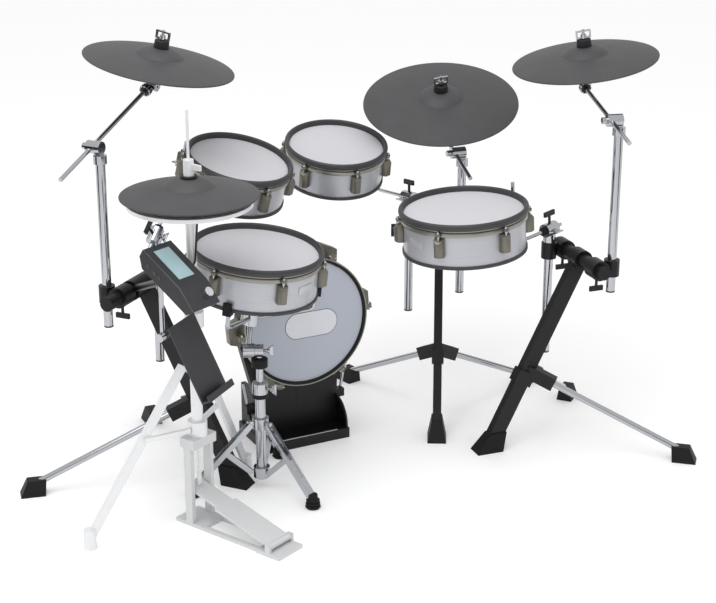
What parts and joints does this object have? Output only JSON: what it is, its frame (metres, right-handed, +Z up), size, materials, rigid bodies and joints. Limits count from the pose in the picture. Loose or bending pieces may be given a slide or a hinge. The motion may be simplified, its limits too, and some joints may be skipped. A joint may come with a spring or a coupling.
{
  "type": "electronic drum kit",
  "caption": "Electronic drum kit: mesh-head toms, snare and kick tower, rubber cymbal pads on booms, hi-hat on its own pedal stand, tripod rack stands and a sound module.",
  "frame": {"origin": "on the floor below the middle of the kit's bounding box", "axes": "+X to the drummer's right, +Y away from the drummer, +Z up"},
  "size_m": [1.862, 1.3848, 1.1898],
  "materials": {
    "black_steel": "matte black powder coat",
    "chrome": "polished",
    "black_plastic": "fine grain",
    "black_rubber": "matte",
    "pad_rubber": "matte, moulded",
    "rim_rubber": "satin",
    "silver_shell": "gloss silver",
    "mesh": "woven",
    "pewter": "satin pewter die casting",
    "kick_mesh": "woven",
    "pale_metal": "satin pale grey",
    "case_plastic": "fine grain",
    "screen_glass": "gloss",
    "dial_metal": "satin"
  },
  "bodies": {
    "kit": {"stand_legs": "black_steel", "stand_top_bars": "black_steel", "stand_brackets": "black_steel", "stand_tubes": "chrome", "post_clamps": "chrome", "kick_hoop": "pewter", "kick_head": "kick_mesh", "kick_tower": "black_plastic", "kick_lugs": "pewter", "kick_spurs": "chrome", "snare_stand_tube": "chrome", "snare_stand_legs": "chrome", "hat_frame": "pale_metal", "hat_tubes": "pale_metal", "hat_legs": "pale_metal", "module_case": "case_plastic", "module_screen": "screen_glass", "module_mount": "black_plastic", "posts": "chrome", "hihat_cable": "black_rubber", "rubber_feet": "black_rubber", "end_caps": "black_plastic", "bar_clamps": "black_plastic", "clamp_bolts": "black_plastic"},
    "crash_left_boom": {"crash_left_boom": "chrome"},
    "crash_left_tilter": {"crash_left_tilter": "chrome"},
    "crash_left_pad": {"crash_left_pad": "pad_rubber"},
    "crash_right_boom": {"crash_right_boom": "chrome"},
    "crash_right_tilter": {"crash_right_tilter": "chrome"},
    "crash_right_pad": {"crash_right_pad": "pad_rubber"},
    "ride_boom": {"ride_boom": "chrome"},
    "ride_tilter": {"ride_tilter": "chrome"},
    "ride_pad": {"ride_pad": "pad_rubber"},
    "tom_left_l_rod": {"tom_left_l_rod": "chrome"},
    "tom_left": {"tom_left_shell": "silver_shell", "tom_left_head": "mesh", "tom_left_rims": "rim_rubber", "tom_left_fittings": "pewter"},
    "tom_right_l_rod": {"tom_right_l_rod": "chrome"},
    "tom_right": {"tom_right_shell": "silver_shell", "tom_right_head": "mesh", "tom_right_rims": "rim_rubber", "tom_right_fittings": "pewter"},
    "floor_tom_l_rod": {"floor_tom_l_rod": "chrome"},
    "floor_tom": {"floor_tom_shell": "silver_shell", "floor_tom_head": "mesh", "floor_tom_rims": "rim_rubber", "floor_tom_fittings": "pewter"},
    "snare_upper": {"snare_upper_tube": "chrome"},
    "snare": {"snare_basket": "chrome", "snare_basket_grips": "black_rubber", "snare_shell": "silver_shell", "snare_head": "mesh", "snare_rims": "rim_rubber", "snare_fittings": "pewter"},
    "hat_pull": {"hat_rod": "pale_metal", "hat_pad": "pad_rubber"},
    "hat_pedal": {"hat_pedal": "pale_metal"},
    "module_dial": {"module_dial": "dial_metal"},
    "tablet_holder": {"tablet_holder": "case_plastic"}
  },
  "joints": [
    {"name": "crash_left_boom_hinge", "type": "hinge", "parent": "kit", "child": "crash_left_boom", "pos_m": [-0.67706, -0.23135, 0.93503], "axis": [-0.893, 0.4501, 0], "range_deg": [-8, 8]},
    {"name": "crash_left_tilt", "type": "hinge", "parent": "crash_left_boom", "child": "crash_left_tilter", "pos_m": [-0.55864, 0.02303, 1.03707], "axis": [-0.8743, 0.4512, 0.1792], "range_deg": [-10, 10]},
    {"name": "crash_left_rock", "type": "hinge", "parent": "crash_left_tilter", "child": "crash_left_pad", "pos_m": [-0.53961, 0.01991, 1.13774], "axis": [-0.8743, 0.4512, 0.1792], "range_deg": [-6, 6], "stiffness_Nm_per_rad": 8},
    {"name": "crash_right_boom_hinge", "type": "hinge", "parent": "kit", "child": "crash_right_boom", "pos_m": [0.67694, -0.01821, 0.95503], "axis": [-0.9818, -0.1897, 0], "range_deg": [-8, 8]},
    {"name": "crash_right_tilt", "type": "hinge", "parent": "crash_right_boom", "child": "crash_right_tilter", "pos_m": [0.62051, 0.22829, 0.99968], "axis": [-0.9727, -0.1823, -0.1439], "range_deg": [-10, 10]},
    {"name": "crash_right_rock", "type": "hinge", "parent": "crash_right_tilter", "child": "crash_right_pad", "pos_m": [0.60683, 0.2213, 1.10102], "axis": [-0.9727, -0.1823, -0.1439], "range_deg": [-6, 6], "stiffness_Nm_per_rad": 8},
    {"name": "ride_boom_hinge", "type": "hinge", "parent": "kit", "child": "ride_boom", "pos_m": [0.28409, 0.35437, 0.76704], "axis": [-0.9469, -0.3215, 0], "range_deg": [-8, 8]},
    {"name": "ride_tilt", "type": "hinge", "parent": "ride_boom", "child": "ride_tilter", "pos_m": [0.22704, 0.49561, 0.82424], "axis": [-0.9513, -0.283, -0.1225], "range_deg": [-10, 10]},
    {"name": "ride_rock", "type": "hinge", "parent": "ride_tilter", "child": "ride_pad", "pos_m": [0.22442, 0.46245, 0.92119], "axis": [-0.9513, -0.283, -0.1225], "range_deg": [-6, 6], "stiffness_Nm_per_rad": 8},
    {"name": "tom_left_swing", "type": "hinge", "parent": "kit", "child": "tom_left_l_rod", "pos_m": [-0.57415, 0.00197, 0.62504], "axis": [-0.3236, -0.6543, -0.6835], "range_deg": [-8, 8]},
    {"name": "tom_left_height", "type": "slide", "parent": "tom_left_l_rod", "child": "tom_left", "axis": [0.2294, -0.1622, 0.9597], "range_m": [-0.015, 0.015]},
    {"name": "tom_right_swing", "type": "hinge", "parent": "kit", "child": "tom_right_l_rod", "pos_m": [0.13221, 0.36047, 0.62804], "axis": [0.6411, -0.7658, 0.0502], "range_deg": [-8, 8]},
    {"name": "tom_right_height", "type": "slide", "parent": "tom_right_l_rod", "child": "tom_right", "axis": [0.0789, -0.2095, 0.9746], "range_m": [-0.015, 0.015]},
    {"name": "floor_tom_swing", "type": "hinge", "parent": "kit", "child": "floor_tom_l_rod", "pos_m": [0.52106, 0.13478, 0.60303], "axis": [0.7435, 0.6619, 0.0952], "range_deg": [-8, 8]},
    {"name": "floor_tom_height", "type": "slide", "parent": "floor_tom_l_rod", "child": "floor_tom", "axis": [-0.0569, -0.024, 0.9981], "range_m": [-0.015, 0.015]},
    {"name": "snare_height", "type": "slide", "parent": "kit", "child": "snare_upper", "axis": [0, 0, 1], "range_m": [-0.01, 0.006]},
    {"name": "snare_tilt", "type": "hinge", "parent": "snare_upper", "child": "snare", "pos_m": [-0.2785, -0.2708, 0.396], "axis": [1, 0, 0], "range_deg": [0, 5]},
    {"name": "hat_pull_slide", "type": "slide", "parent": "kit", "child": "hat_pull", "axis": [0, 0, 1], "range_m": [-0.01, 0], "stiffness_N_per_m": 900, "springref_m": 0.03},
    {"name": "hat_pedal_hinge", "type": "hinge", "parent": "kit", "child": "hat_pedal", "pos_m": [-0.21631, -0.6328, 0.024], "axis": [0.6157, 0.788, 0], "range_deg": [-2.3, 0]},
    {"name": "dial_turn", "type": "hinge", "parent": "kit", "child": "module_dial", "pos_m": [-0.38163, -0.58645, 0.66893], "axis": [0.6203, -0.4603, 0.6351], "continuous": true},
    {"name": "tablet_tilt", "type": "hinge", "parent": "kit", "child": "tablet_holder", "pos_m": [-0.4955, -0.5588, 0.548], "axis": [0.4826, 0.8719, 0.0829], "range_deg": [-15, 15]}
  ],
  "couplings": [
    {"joint": "hat_pedal_hinge", "follows": "hat_pull_slide", "rad_per_m": 3.7313}
  ]
}
